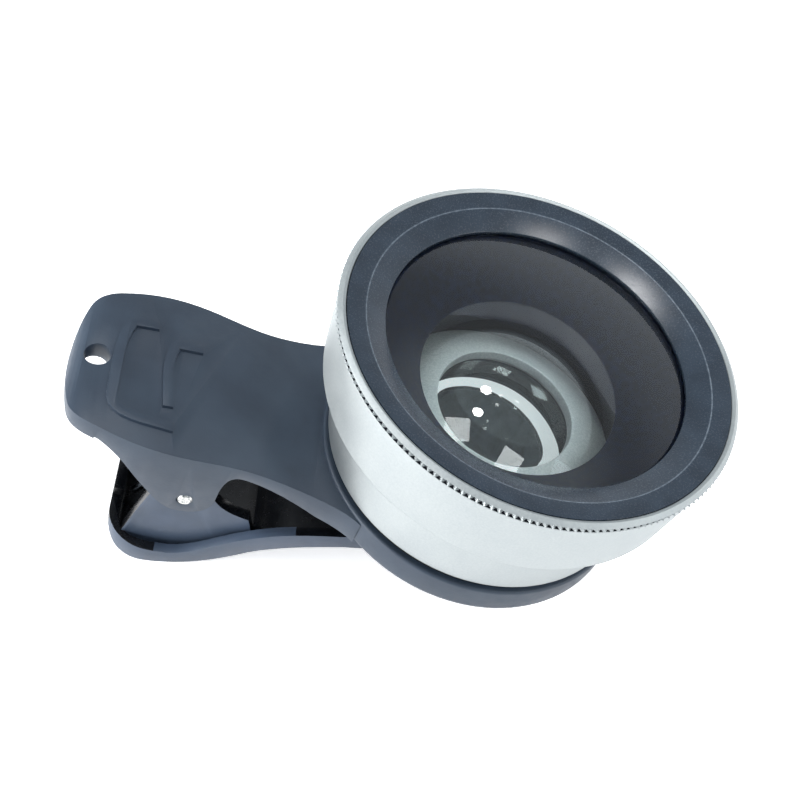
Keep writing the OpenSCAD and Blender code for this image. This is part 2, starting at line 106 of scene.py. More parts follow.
def add(tree: Tree, kind: str, links: dict[Any, Any] | None = None, **settings: Any) -> Any:
    """Adds one node to a tree, with its settings, values and links.

    Args:
        tree: The tree that takes the node.
        kind: The node's type name.
        links: For each input, by name or number, a value or the socket that feeds it.
        settings: Properties of the node itself.

    Returns:
        The new node.
    """
    node = tree.nodes.new(kind)
    for key, value in settings.items():
        setattr(node, key, value)
    for key, value in (links or {}).items():
        if isinstance(value, Socket):
            tree.links.new(value, node.inputs[key])
        else:
            node.inputs[key].default_value = value
    return node


def emptied(owner: Any) -> Tree:
    """Gives a new material's or world's node tree, without its first nodes."""
    owner.use_nodes = True
    owner.node_tree.nodes.clear()
    return owner.node_tree


def shown(name: str, data: bpy.types.ID) -> bpy.types.Object:
    """Adds an object to the scene.

    Args:
        name: The object's name.
        data: Its mesh, curve, lamp or camera.

    Returns:
        The new object.
    """
    obj = bpy.data.objects.new(name, data)
    bpy.context.scene.collection.objects.link(obj)
    return obj


@dataclass(frozen=True)
class LensAxis:
    """Where the lens axis lies in the row frame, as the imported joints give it."""

    origin: Vector
    turn: Matrix

    @classmethod
    def from_joints(cls, joints: Iterable[dict[str, Any]]) -> "LensAxis":
        """Reads the axis from the joint that the macro barrel turns on.

        Args:
            joints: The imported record's joints.

        Returns:
            The lens axis.
        """
        joint = next(j for j in joints if j["name"] == "macro_turn")
        up = Vector(joint["axis"]).normalized()
        side = Vector((0, 1, 0))
        return cls(Vector(joint["pos_m"]), Matrix((side.cross(up), side, up)).transposed())

    def placing(self) -> Matrix:
        """Gives the matrix that takes millimetres about the lens axis into the row frame."""
        return Matrix.Translation(self.origin) @ self.turn.to_4x4() @ Matrix.Scale(MM, 4)


LENS = LensAxis.from_joints(frame["joints"])


def lens_millimetres(tree: Tree) -> Socket:
    """Adds the surface's place about the lens axis to a material.

    Args:
        tree: The material's node tree.

    Returns:
        A socket with the place in millimetres.
    """
    place = add(tree, "ShaderNodeTexCoord").outputs["Object"]
    links = {
        "Vector": place,
        "Location": LENS.origin,
        "Rotation": LENS.turn.to_euler(),
        "Scale": (MM, MM, MM),
    }
    return add(tree, "ShaderNodeMapping", links, vector_type="TEXTURE").outputs["Vector"]


@dataclass(frozen=True)
class Palette:
    """A material's node tree and shader, with the patterns that the finishes share."""

    tree: Tree
    shader: Any
    place: Socket

    def noise(self, grain: float, detail: float = 3.0, place: Socket | None = None) -> Socket:
        """Adds a noise pattern.

        Args:
            grain: The size of its largest patches, in millimetres.
            detail: How many finer layers it has.
            place: Another place than the one on the surface.

        Returns:
            The pattern's socket, from 0 to 1.
        """
        links = {"Vector": place or self.place, "Scale": 1 / grain, "Detail": detail}
        return add(self.tree, "ShaderNodeTexNoise", links).outputs[0]

    def spread(
        self, pattern: Socket, low: float, high: float, first: float = 0.0, last: float = 1.0
    ) -> Socket:
        """Stretches the middle of a pattern over a new range.

        Args:
            pattern: The pattern's socket.
            low: The level that gives the first value.
            high: The level that gives the last value.
            first: The value at the low level.
            last: The value at the high level.

        Returns:
            The new values' socket.
        """
        levels = {0: pattern, 1: low, 2: high, 3: first, 4: last}
        return add(self.tree, "ShaderNodeMapRange", levels).outputs[0]

    def between(self, share: Socket, under: Any, over: str) -> Socket:
        """Mixes two colours.

        Args:
            share: The share of the second colour.
            under: The first colour, as hex digits or as a socket.
            over: The second colour, as hex digits.

        Returns:
            The mixed colour's socket.
        """
        colours = {0: share, 6: linear(under) if isinstance(under, str) else under, 7: linear(over)}
        return add(self.tree, "ShaderNodeMix", colours, data_type="RGBA").outputs[2]

    def from_axis(self) -> Socket:
        """Gives the distance from the lens axis, in millimetres."""
        kind, across = "ShaderNodeVectorMath", {0: self.place, 1: (1, 1, 0)}
        flat = add(self.tree, kind, across, operation="MULTIPLY")
        return add(self.tree, kind, {0: flat.outputs[0]}, operation="LENGTH").outputs["Value"]

    def coat(self, colour: Socket, rough: Socket) -> None:
        """Feeds the shader's colour and roughness.

        Args:
            colour: The colour's socket.
            rough: The roughness's socket.
        """
        self.tree.links.new(colour, self.shader.inputs["Base Color"])
        self.tree.links.new(rough, self.shader.inputs["Roughness"])

    def relief(self, height: Socket, depth: float) -> None:
        """Gives the surface a fine relief.

        Args:
            height: The relief's height, from 0 to 1.
            depth: What a height of 1 stands for, in millimetres.
        """
        links = {"Height": height, "Distance": depth * MM, "Strength": 1.0}
        bump = add(self.tree, "ShaderNodeBump", links)
        self.tree.links.new(bump.outputs["Normal"], self.shader.inputs["Normal"])


@dataclass(frozen=True)
class Finish:
    """A surface finish: a real material and how it was made."""

    title: str

    def material(self) -> bpy.types.Material:
        """Gives the finish's material, and makes it the first time."""
        found = bpy.data.materials.get(self.title)
        if found is not None:
            return found
        made = bpy.data.materials.new(self.title)
        tree = emptied(made)
        shader = add(tree, "ShaderNodeBsdfPrincipled")
        add(tree, "ShaderNodeOutputMaterial", {"Surface": shader.outputs["BSDF"]})
        self.dress(Palette(tree, shader, lens_millimetres(tree)))
        return made

    def dress(self, paint: Palette) -> None:
        """Feeds the shader with the finish's patterns.

        Args:
            paint: The material's nodes.
        """
        raise NotImplementedError


@dataclass(frozen=True)
class MouldedPlastic(Finish):
    """Glass-filled nylon or ABS, moulded against a spark-eroded steel.

    The eye sees an even satin black with a cool sheen, broken by a fine grain.
    """

    dark: str = "2A3645"
    light: str = "33404F"
    cloud: float = 7.0
    rub: float = 1.6
    grain: float = 0.32
    depth: float = 0.012
    dull: float = 0.5
    bright: float = 0.4

    def dress(self, paint: Palette) -> None:
        """Feeds the shader with flow clouds and the eroded grain."""
        clouds = paint.spread(paint.noise(self.cloud, 4.0), 0.35, 0.65)
        rubbed = paint.spread(paint.noise(self.rub), 0.3, 0.7, self.bright, self.dull)
        paint.coat(paint.between(clouds, self.dark, self.light), rubbed)
        paint.relief(paint.noise(self.grain, 2.0), self.depth)


@dataclass(frozen=True)
class PearlAluminium(Finish):
    """Turned aluminium, blasted with fine beads and clear anodised.

    The eye sees a soft pearl silver: no sharp reflections, and a grain finer than a hair.
    """

    dark: str = "A3A9AB"
    light: str = "B4B9B9"
    grain: float = 0.24
    cloud: float = 5.0
    depth: float = 0.006
    smooth: float = 0.46
    rough: float = 0.58

    def dress(self, paint: Palette) -> None:
        """Feeds the shader with the blasted grain and the anodising's slight clouds."""
        grain = paint.noise(self.grain)
        clouds = paint.noise(self.cloud, 2.0)
        both = add(paint.tree, "ShaderNodeMix", {0: 0.7, 2: clouds, 3: grain}).outputs[0]
        colour = paint.between(paint.spread(both, 0.3, 0.7), self.dark, self.light)
        paint.coat(colour, paint.spread(both, 0.3, 0.7, self.smooth, self.rough))
        paint.shader.inputs["Metallic"].default_value = 1.0
        paint.relief(grain, self.depth)


@dataclass(frozen=True)
class TurnedAluminium(Finish):
    """Aluminium fresh from the lathe: the tool leaves fine rings about the axis.

    The eye sees a frosted silver band with a broad soft highlight, grainy where the tool chattered; its
    near-white colour is painted light.
    """

    # These near-white colours and the low metal value are painted light, for the lamps' light that the
    # glass keeps off the ring.
    dark: str = "DDE3E3"
    light: str = "F4F7F6"
    pitch: float = 0.22
    chatter: float = 0.3
    depth: float = 0.004
    metal: float = 0.05

    def dress(self, paint: Palette) -> None:
        """Feeds the shader with the lathe's rings and the chatter."""
        turns = {0: paint.from_axis(), 1: 2 * math.pi / self.pitch}
        phase = add(paint.tree, "ShaderNodeMath", turns, operation="MULTIPLY")
        rings = add(paint.tree, "ShaderNodeMath", {0: phase.outputs[0]}, operation="SINE")
        chatter = paint.noise(self.chatter)
        height = {0: rings.outputs[0], 1: 0.35, 2: chatter}
        relief = add(paint.tree, "ShaderNodeMath", height, operation="MULTIPLY_ADD")
        colour = paint.between(paint.spread(chatter, 0.34, 0.66), self.dark, self.light)
        paint.coat(colour, paint.spread(chatter, 0.3, 0.7, 0.3, 0.42))
        paint.shader.inputs["Metallic"].default_value = self.metal
        paint.relief(relief.outputs[0], self.depth)


@dataclass(frozen=True)
class BlackAnodised(Finish):
    """Aluminium blasted and dyed black in the anodising bath.

    The eye sees a slate black with pin-point specks and a broad cool sheen on the chamfer.
    """

    dark: str = "27323E"
    light: str = "303C49"
    speck: str = "566371"
    speck_gap: float = 0.55
    wear_and_highlight: str = "8C98A4"
    wear_and_highlight_radius: float = 21.9
    wear_and_highlight_width: float = 0.08
    wear_and_highlight_patch: float = 0.5
    cloud: float = 3.0
    grain: float = 0.2
    depth: float = 0.006

    def dress(self, paint: Palette) -> None:
        """Feeds the shader with clouds, specks, the blasted grain and a lighter line on the chamfer's
        edge, partly bared by wear and partly a painted highlight.
        """
        clouds = paint.spread(paint.noise(self.cloud, 5.0), 0.35, 0.65)
        dyed = paint.between(clouds, self.dark, self.light)
        scatter = {"Vector": paint.place, "Scale": 1 / self.speck_gap}
        cells = add(paint.tree, "ShaderNodeTexVoronoi", scatter)
        near = paint.spread(cells.outputs["Distance"], 0.03, 0.1, 1.0, 0.0)
        specked = paint.between(near, dyed, self.speck)
        # A lighter, patchy line along the chamfer's edge: partly bare aluminium from wear, partly a
        # painted highlight.
        off = {0: paint.from_axis(), 1: self.wear_and_highlight_radius, 2: self.wear_and_highlight_width}
        edge = add(paint.tree, "ShaderNodeMath", off, operation="COMPARE")
        patchy = paint.spread(paint.noise(self.wear_and_highlight_patch), 0.42, 0.62, 0.3, 0.6)
        bared_and_highlit = add(paint.tree, "ShaderNodeMath", {0: edge.outputs[0], 1: patchy}, operation="MULTIPLY")
        colour = paint.between(bared_and_highlit.outputs[0], specked, self.wear_and_highlight)
        grain = paint.noise(self.grain, 2.0)
        paint.coat(colour, paint.spread(grain, 0.3, 0.7, 0.2, 0.3))
        paint.relief(grain, self.depth)


@dataclass(frozen=True)
class CoatedGlass(Finish):
    """Optical glass, ground and polished, with a thin coating that dims its reflections.

    The eye sees clear glass with faint cool reflections and a trace of haze from cleaning.
    """

    tint: str = "F2F8F7"
    haze: str = "E9F2F4"
    wipe: float = 6.0
    index: float = 1.52
    gleam: float = 0.2

    def dress(self, paint: Palette) -> None:
        """Feeds the shader with the cleaning haze."""
        wiped = paint.noise(self.wipe)
        colour = paint.between(paint.spread(wiped, 0.35, 0.7), self.tint, self.haze)
        paint.coat(colour, paint.spread(wiped, 0.55, 0.8, 0.0, 0.03))
        paint.shader.inputs["Transmission Weight"].default_value = 1.0
        paint.shader.inputs["IOR"].default_value = self.index
        paint.shader.inputs["Specular IOR Level"].default_value = self.gleam


@dataclass(frozen=True)
class EdgeLacquer(Finish):
    """Black lacquer brushed on the ground edge of a lens, to stop stray light.

    The eye sees it through the glass, as a deep gloss black with faint brush streaks.
    """

    dark: str = "121B30"
    light: str = "1A2642"
    streak: float = 0.8
    depth: float = 0.002
    sheen: float = 0.25

    def dress(self, paint: Palette) -> None:
        """Feeds the shader with the brush's streaks, which run up the cone."""
        strokes = {"Vector": paint.place, "Scale": (1.0, 1.0, 0.25)}
        stretched = add(paint.tree, "ShaderNodeMapping", strokes)
        streaks = paint.noise(self.streak, 4.0, stretched.outputs[0])
        colour = paint.between(paint.spread(streaks, 0.4, 0.7), self.dark, self.light)
        paint.coat(colour, paint.spread(streaks, 0.3, 0.7, 0.36, 0.44))
        paint.shader.inputs["Specular IOR Level"].default_value = self.sheen
        paint.relief(streaks, self.depth)


@dataclass(frozen=True)
class SoftRubber(Finish):
    """Silicone rubber or thin black fibre, moulded or punched, and matt.

    The eye sees a dull black with a soft mottle and a little dust.
    """

    dark: str = "232930"
    light: str = "47505B"
    mottle: float = 0.9
    sheen: float = 0.4
    depth: float = 0.02

    def dress(self, paint: Palette) -> None:
        """Feeds the shader with the mottle and the dust."""
        mottle = paint.noise(self.mottle, 5.0)
        colour = paint.between(paint.spread(mottle, 0.35, 0.68), self.dark, self.light)
        paint.coat(colour, paint.spread(mottle, 0.3, 0.7, 0.62, 0.82))
        paint.shader.inputs["Specular IOR Level"].default_value = self.sheen
        paint.relief(mottle, self.depth)


@dataclass(frozen=True)
class DrawnSteel(Finish):
    """Steel wire or rod, drawn through a die and cut.

    The eye sees a bright grey metal with short scratches.
    """

    dark: str = "8A8D8E"
    light: str = "D6D6D2"
    scratch: float = 0.25
    depth: float = 0.01

    def dress(self, paint: Palette) -> None:
        """Feeds the shader with the scratches."""
        marks = paint.noise(self.scratch, 4.0)
        colour = paint.between(paint.spread(marks, 0.35, 0.6), self.dark, self.light)
        paint.coat(colour, paint.spread(marks, 0.3, 0.7, 0.2, 0.36))
        paint.shader.inputs["Metallic"].default_value = 1.0
        paint.relief(marks, self.depth)


CLIP_PLASTIC = MouldedPlastic("moulded_black_plastic")
# The lower lever is the same plastic as the upper lever; its lighter colours are painted light on its
# lit outer rim and walls.
LEVER_PLASTIC_PAINTED_LIT = MouldedPlastic("moulded_black_plastic_lower_painted_lit", "3C4858", "475467", dull=0.45, bright=0.35)
# The tray inside the lower lever is the same plastic, glossier; its near-black colours are painted shade
# in the hollow.
TRAY_PLASTIC_PAINTED_SHADE = MouldedPlastic(
    "glossy_black_plastic_tray_painted_shade", "08090C", "0E1014", depth=0.004, dull=0.3, bright=0.2
)
BARREL = PearlAluminium("blasted_anodised_aluminium")
CONE_SILVER_PAINTED_LIGHT = TurnedAluminium("turned_aluminium_painted_light")
RING_BLACK = BlackAnodised("black_anodised_aluminium")
GLASS = CoatedGlass("coated_optical_glass")
SMALL_GLASS = CoatedGlass("coated_small_lens_glass")
LACQUER = EdgeLacquer("black_edge_lacquer")
RUBBER = SoftRubber("silicone_rubber")
FIBRE = SoftRubber("punched_black_fibre", "0E0F11", "1A1C1F", 0.5)
# Matt black paint inside the barrels; in the wide barrel's knurl root the same black is painted shade.
BORE_PAINT_AND_ROOT_SHADE = SoftRubber("flocked_black_bore_paint_and_root_shade", "0D0F15", "13161E", 0.35, sheen=0.08)
# The spring's near-black colours are painted shade, where it sits between the levers.
SPRING_WIRE_PAINTED_SHADE = DrawnSteel("dark_spring_wire_painted_shade", "1C1F23", "3A3F45")
PIN_STEEL = DrawnSteel("cut_bright_steel")


def clad(mesh: Mesh, finishes: Iterable[Finish]) -> None:
    """Gives a mesh without materials its finishes, one slot for each."""
    for finish in finishes:
        mesh.materials.append(finish.material())


def shaded(mesh: Mesh, sharp: float = 32.0) -> Mesh:
    """Shades a mesh smooth, with sharp edges where its faces meet steeply.

    Args:
        mesh: The mesh.
        sharp: The angle past which an edge is sharp, in degrees.

    Returns:
        The same mesh.
    """
    mesh.shade_smooth()
    mesh.set_sharp_from_angle(angle=math.radians(sharp))
    return mesh


def finished(
    name: str, mesh: Mesh, body: Body, nodes: Sequence[str] = (), placed: bool = False
) -> None:
    """Puts a finished mesh in the scene, on its body.

    Args:
        name: The piece's name.
        mesh: Its mesh.
        body: The body that it rides on.
        nodes: The CAD nodes that it stands for.
        placed: Whether the mesh is already in the row frame.
    """
    if not placed:
        mesh.transform(LENS.placing())
    obj = shown(name, mesh)
    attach(obj, body.value)
    if nodes:
        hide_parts(*nodes)
    LOG.info("%s: %d faces on %s", name, len(mesh.polygons), body.value)


def softened(corners: Sequence[Point], radius: float) -> list[Point]:
    """Rounds the corners of a closed outline, as a deburred edge is.

    Args:
        corners: The outline's corners, with the radius first and the height second.
        radius: How far along its edges a corner is rounded, in millimetres.

    Returns:
        The outline's new points.
    """
    steps, slight = 3, 12
    out: list[Point] = []
    count = len(corners)
    for i, corner in enumerate(corners):
        here = Vector(corner)
        back, ahead = Vector(corners[i - 1]) - here, Vector(corners[(i + 1) % count]) - here
        turn = 180 - math.degrees(back.angle(ahead)) if back.length and ahead.length else 0
        if turn < slight or here.x == 0:
            out.append(corner)
            continue
        start = here + back.normalized() * min(radius, 0.4 * back.length)
        end = here + ahead.normalized() * min(radius, 0.4 * ahead.length)
        for k in range(steps + 1):
            t = k / steps
            point = start * (1 - t) ** 2 + here * 2 * t * (1 - t) + end * t**2
            out.append((point.x, point.y))
    return out


def lathed(
    name: str,
    outline: Sequence[Point],
    finishes: Sequence[Finish],
    pick: Callable[[float, float], int] | None = None,
    around: int = 256,
) -> Mesh:
    """Turns a closed outline about the lens axis.

    Args:
        name: The mesh's name.
        outline: Radius and height of each point, in millimetres.
        finishes: The finishes of the mesh's slots.
        pick: Gives the slot at a radius and height; the first slot is used without it.
        around: The number of steps round the axis.

    Returns:
        A closed mesh, in millimetres.
    """
    shape = bmesh.new()
    rings: list[list[bmesh.types.BMVert]] = []
    angles = [2 * math.pi * k / around for k in range(around)]
    circle = [(math.cos(a), math.sin(a)) for a in angles]
    for radius, height in outline:
        if radius < 1e-6:
            rings.append([shape.verts.new((0, 0, height))] * around)
            continue
        rings.append([shape.verts.new((radius * x, radius * y, height)) for x, y in circle])
    for i, ring in enumerate(rings):
        following = rings[(i + 1) % len(rings)]
        (r0, z0), (r1, z1) = outline[i], outline[(i + 1) % len(outline)]
        if r0 < 1e-6 and r1 < 1e-6:
            continue
        slot = pick((r0 + r1) / 2, (z0 + z1) / 2) if pick else 0
        for k in range(around):
            j = (k + 1) % around
            corners = list(dict.fromkeys((ring[k], ring[j], following[j], following[k])))
            face = shape.faces.new(corners)
            face.material_index = slot
    bmesh.ops.recalc_face_normals(shape, faces=shape.faces)
    mesh = bpy.data.meshes.new(name)
    shape.to_mesh(mesh)
    shape.free()
    clad(mesh, finishes)
    return shaded(mesh)


def eased_copy(
    node: str, finishes: Sequence[Finish], edge: float,
    pick: Callable[[Vector, Vector], int] | None = None,
) -> Mesh:
    """Copies a CAD node with its crisp edges eased, as a moulding's are.

    Args:
        node: The node's name.
        finishes: The finishes of the copy's slots.
        edge: Width of the eased edge, in millimetres.
        pick: Gives the slot of a face from its place about the lens axis and the way it faces.

    Returns:
        The mesh, in the row frame.
    """
    weld, flat, sharp = 0.004 * MM, math.radians(0.6), math.radians(35)
    shape = bmesh.new()
    shape.from_mesh(frame["nodes"][node].data)
    bmesh.ops.remove_doubles(shape, verts=shape.verts, dist=weld)
    bmesh.ops.dissolve_degenerate(shape, edges=shape.edges, dist=weld)
    bmesh.ops.dissolve_limit(shape, angle_limit=flat, verts=shape.verts, edges=shape.edges)
    bmesh.ops.recalc_face_normals(shape, faces=shape.faces)
    mesh = bpy.data.meshes.new(node + "_eased")
    shape.to_mesh(mesh)
    shape.free()
    mesh.materials.clear()
    clad(mesh, finishes)
    holder = shown(node + "_eased", mesh)
    bevel = holder.modifiers.new("eased edge", "BEVEL")
    bevel.width, bevel.segments = edge * MM, 2
    bevel.limit_method, bevel.angle_limit = "ANGLE", sharp
    bevel.miter_outer = "MITER_ARC"
    bevel.use_clamp_overlap = True
    eased = taken(holder)
    to_lens = LENS.placing().inverted()
    for face in eased.polygons if pick else ():
        face.material_index = pick(to_lens @ face.center, LENS.turn.inverted() @ face.normal)
    return shaded(eased, 40.0)


def taken(holder: bpy.types.Object) -> Mesh:
    """Takes the plain mesh that an object's modifiers give, and removes the object.

    Args:
        holder: The object with its modifiers.

    Returns:
        The new mesh.
    """
    bpy.context.view_layer.update()
    result = holder.evaluated_get(bpy.context.evaluated_depsgraph_get())
    mesh = bpy.data.meshes.new_from_object(result)
    holder.modifiers.clear()
    bpy.data.objects.remove(holder)
    return mesh


@dataclass
class Growth:
    """A Geometry Nodes tree with named inputs, and what it grows."""

    title: str
    inputs: dict[str, Any]

    def __post_init__(self) -> None:
        """Makes the empty tree with its named inputs."""
        self.tree = bpy.data.node_groups.new(self.title, "GeometryNodeTree")
        self.tree.interface.new_socket("Geometry", in_out="INPUT", socket_type="NodeSocketGeometry")
        kinds = {int: "NodeSocketInt", float: "NodeSocketFloat"}
        for name, value in self.inputs.items():
            kind = kinds.get(type(value), "NodeSocketMaterial")
            self.tree.interface.new_socket(name, in_out="INPUT", socket_type=kind)
        self.tree.interface.new_socket("Geometry", in_out="OUTPUT", socket_type="NodeSocketGeometry")
        self.size = add(self.tree, "NodeGroupInput").outputs

    def ended(self, geometry: Socket) -> None:
        """Closes the tree with Realize Instances and Set Material.

        Args:
            geometry: What the tree has grown.
        """
        real = add(self.tree, "GeometryNodeRealizeInstances", {0: geometry})
        dressed = {"Geometry": real.outputs[0], "Material": self.size["Finish"]}
        clad = add(self.tree, "GeometryNodeSetMaterial", dressed)
        add(self.tree, "NodeGroupOutput", {0: clad.outputs[0]})

    def grow(self, start: bpy.types.ID | None = None) -> Mesh:
        """Runs the tree on a mesh or curve and takes the result.

        Args:
            start: The mesh or curve that the tree starts from, if it needs one.

        Returns:
            The grown mesh, in millimetres.
        """
        holder = shown(self.title, start or bpy.data.meshes.new(self.title))
        modifier = holder.modifiers.new(self.title, "NODES")
        modifier.node_group = self.tree
        for item in self.tree.interface.items_tree:
            if item.in_out == "INPUT" and item.name in self.inputs:
                modifier[item.identifier] = self.inputs[item.name]
        return taken(holder)


def thread(title: str, radius: float, bottom: float, length: float, finish: Finish) -> Mesh:
    """Grows the ridge of a screw thread about the lens axis.

    Args:
        title: The mesh's name.
        radius: Radius of the ridge's crest, in millimetres.
        bottom: Height of its lower end.
        length: Its length along the axis.
        finish: Its finish.

    Returns:
        The ridge's mesh, in millimetres.
    """
    growth = Growth(title, {
        "Radius": radius - THREAD_DEPTH,
        "Bottom": bottom,
        "Turns": length / THREAD_PITCH,
        "Pitch": THREAD_PITCH,
        "Depth": THREAD_DEPTH,
        "Steps": 128,
        "Finish": finish.material(),
    })
    tree, size = growth.tree, growth.size
    rise = add(tree, "ShaderNodeMath", {0: size["Turns"], 1: size["Pitch"]}, operation="MULTIPLY")
    path = {
        "Resolution": size["Steps"],
        "Rotations": size["Turns"],
        "Start Radius": size["Radius"],
        "End Radius": size["Radius"],
        "Height": rise.outputs[0],
    }
    helix = add(tree, "GeometryNodeCurveSpiral", path)
    upright = add(tree, "GeometryNodeSetCurveNormal", {0: helix.outputs[0]}, mode="Z_UP")
    ridge = add(tree, "GeometryNodeCurvePrimitiveCircle", {"Resolution": 4, "Radius": size["Depth"]})
    swept = {0: upright.outputs[0], 1: ridge.outputs[0], "Fill Caps": True}
    solid = add(tree, "GeometryNodeCurveToMesh", swept)
    place = add(tree, "ShaderNodeCombineXYZ", {"Z": size["Bottom"]})
    lifted = {"Geometry": solid.outputs[0], "Translation": place.outputs[0]}
    growth.ended(add(tree, "GeometryNodeTransform", lifted).outputs[0])
    return shaded(growth.grow())


@dataclass
class SpringClip:
    """The sprung clip: two black levers, their pin and spring, and the two jaw pads."""

    edge: float = 0.16
    sight_radius: float = 10.0
    pad_radius: float = 18.6
    shim_radius: float = 20.0
    ring_height: float = 4.6
    tray_half: float = 10.4
    skirt_inside: float = 8.0
    pin_x: float = -35.9
    pin_z: float = -3.2
    pin_radius: float = 1.0
    pin_half: float = 11.85
    wire_radius: float = 0.55
    coil_radius: float = 2.3
    coil_turns: int = 5
    leg_top: Point = (-46.5, 3.8)
    leg_low: Point = (-41.5, -15.95)

    def build(self) -> None:
        """Builds and dresses the clip's pieces."""
        upper = eased_copy("upper_arm", [CLIP_PLASTIC], self.edge)
        finished("upper_lever_moulding", upper, Body.UPPER_LEVER, ["upper_arm"], placed=True)
        lower = eased_copy("lower_arm", [LEVER_PLASTIC_PAINTED_LIT, TRAY_PLASTIC_PAINTED_SHADE], self.edge, self.lower_slot)
        finished("lower_lever_moulding", lower, Body.LOWER_LEVER, ["lower_arm"], placed=True)
        finished("hinge_pin", self.pin(), Body.UPPER_LEVER, ["pivot_pin"])
        finished("coil_spring", self.spring(), Body.UPPER_LEVER, ["torsion_spring"])
        pad = softened(flat_ring(self.sight_radius, self.pad_radius, -1.0, 0.5), 0.3)
        upper_pad = lathed("upper_pad", pad, [RUBBER])
        finished("upper_pad", upper_pad, Body.UPPER_LEVER, ["upper_jaw_pad"])
        lower_pad = eased_copy("lower_jaw_pad", [RUBBER], 0.2)
        finished("lower_pad", lower_pad, Body.LOWER_LEVER, ["lower_jaw_pad"], placed=True)
        low, high = self.ring_height, self.ring_height + 0.85
        seat = flat_ring(self.shim_radius - 1.35, self.shim_radius, low, high)
        shim = lathed("seat_shim", softened(seat, 0.08), [FIBRE])
        finished("seat_shim", shim, Body.UPPER_LEVER, ["seat_washer"])

    def lower_slot(self, place: Vector, facing: Vector) -> int:
        """Gives the glossier slot in the tray, darkened with painted shade, and the textured outer one,
        lightened with painted light.
        """
        outward = facing.y * math.copysign(1, place.y) > 0.4 and abs(place.y) > self.skirt_inside
        return 0 if outward or facing.z < -0.15 or abs(place.y) > self.tray_half else 1

    def pin(self) -> Mesh:
        """Builds the pin, a cut rod with a small chamfer and a dimple at each end."""
        r, half = self.pin_radius, self.pin_half
        end = [(0.0, half - 0.12), (0.35, half - 0.1), (0.5, half), (r - 0.22, half), (r, half - 0.25)]
        outline = end + [(radius, -height) for radius, height in reversed(end)]
        mesh = lathed("hinge_pin", outline, [PIN_STEEL], around=48)
        across = Matrix.Translation((self.pin_x, 0, self.pin_z)) @ Matrix.Rotation(math.pi / 2, 4, "X")
        mesh.transform(across)
        return mesh

    def wire_path(self) -> list[Vector]:
        """Gives the points of the spring's wire: a leg, the coil and the other leg."""
        pitch = 2 * self.wire_radius + 0.15
        half = pitch * self.coil_turns / 2
        steps = 36
        total = round(steps * (self.coil_turns + 1 / 3))
        points = [Vector((self.leg_top[0], half, self.leg_top[1]))]
        for i in range(total + 1):
            angle = math.radians(120 - 360 * i / steps)
            x = self.pin_x + self.coil_radius * math.cos(angle)
            z = self.pin_z + self.coil_radius * math.sin(angle)
            points.append(Vector((x, half - 2 * half * i / total, z)))
        points.append(Vector((self.leg_low[0], -half, self.leg_low[1])))
        return points

    def spring(self) -> Mesh:
        """Grows the round wire along the spring's path."""
        curve = bpy.data.curves.new("spring_path", "CURVE")
        curve.dimensions = "3D"
        points = self.wire_path()
        spline = curve.splines.new("POLY")
        spline.points.add(len(points) - 1)
        for place, point in zip(spline.points, points):
            place.co = (*point, 1.0)
        growth = Growth("spring_wire", {
            "Wire Radius": self.wire_radius,
            "Sides": 16,
            "Finish": SPRING_WIRE_PAINTED_SHADE.material(),
        })
        tree, size = growth.tree, growth.size
        ring = {"Resolution": size["Sides"], "Radius": size["Wire Radius"]}
        section = add(tree, "GeometryNodeCurvePrimitiveCircle", ring)
        swept = {0: size["Geometry"], 1: section.outputs[0], "Fill Caps": True}
        growth.ended(add(tree, "GeometryNodeCurveToMesh", swept).outputs[0])
        return shaded(growth.grow(curve))


